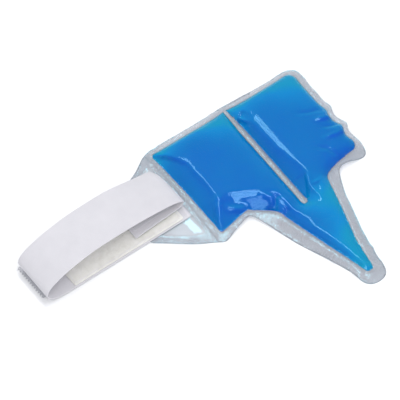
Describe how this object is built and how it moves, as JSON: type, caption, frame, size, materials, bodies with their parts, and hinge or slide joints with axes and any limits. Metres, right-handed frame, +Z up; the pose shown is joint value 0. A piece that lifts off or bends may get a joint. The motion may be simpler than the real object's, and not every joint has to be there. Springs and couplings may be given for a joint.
{
  "type": "gel hot and cold wrap",
  "caption": "Clear film pouch of blue gel with a tapering tail and a side tab, closed round a limb by a woven elastic strap with hook-and-loop tape.",
  "frame": {"origin": "middle of the footprint, on the surface that the wrap lies on", "axes": "+Z up out of the surface; +X from the strap's loop to the gel pouch, along the pouch's straight top edge; -Y towards the tip of the pouch's tail"},
  "size_m": [0.3674, 0.26, 0.0388],
  "materials": {
    "clear_film": "clear glossy soft vinyl",
    "blue_gel": "clear blue wet gel",
    "white_elastic": "woven ribbed elastic",
    "loop_pile": "brushed loop pile",
    "hook_tape": "rows of small nylon hooks",
    "white_thread": "twisted sewing thread"
  },
  "bodies": {
    "pack_left": {"front_film_left": "clear_film", "back_film_left": "clear_film", "gel_left": "blue_gel"},
    "pack_right": {"front_film_right": "clear_film", "back_film_right": "clear_film", "gel_right": "blue_gel"},
    "strap_base": {"front_film_tab": "clear_film", "back_film_tab": "clear_film", "strap_lower": "white_elastic", "loop_patch": "loop_pile", "hook_strip": "hook_tape", "tab_stitching": "white_thread", "loop_patch_stitching": "white_thread"},
    "strap_top": {"strap_upper": "white_elastic"},
    "strap_flap": {"strap_end": "white_elastic", "hook_patch": "hook_tape", "hook_patch_stitching": "white_thread"}
  },
  "joints": [
    {"name": "pack_fold", "type": "hinge", "parent": "pack_left", "child": "pack_right", "pos_m": [0.09587, 0, 0], "axis": [0, -1, 0], "range_deg": [-90, 60]},
    {"name": "strap_swing", "type": "hinge", "parent": "pack_left", "child": "strap_base", "pos_m": [-0.00063, 0.06, 0], "axis": [0, 1, 0], "range_deg": [-90, 45]},
    {"name": "strap_open", "type": "hinge", "parent": "strap_base", "child": "strap_top", "pos_m": [-0.18373, 0.07, 0.014], "axis": [0, -1, 0], "range_deg": [0, 150]},
    {"name": "flap_unfold", "type": "hinge", "parent": "strap_top", "child": "strap_flap", "pos_m": [-0.00503, 0.075, 0.013], "axis": [0, -1, 0], "range_deg": [0, 150]}
  ],
  "couplings": [
    {"joint": "flap_unfold", "follows": "strap_open", "ratio": 1}
  ]
}
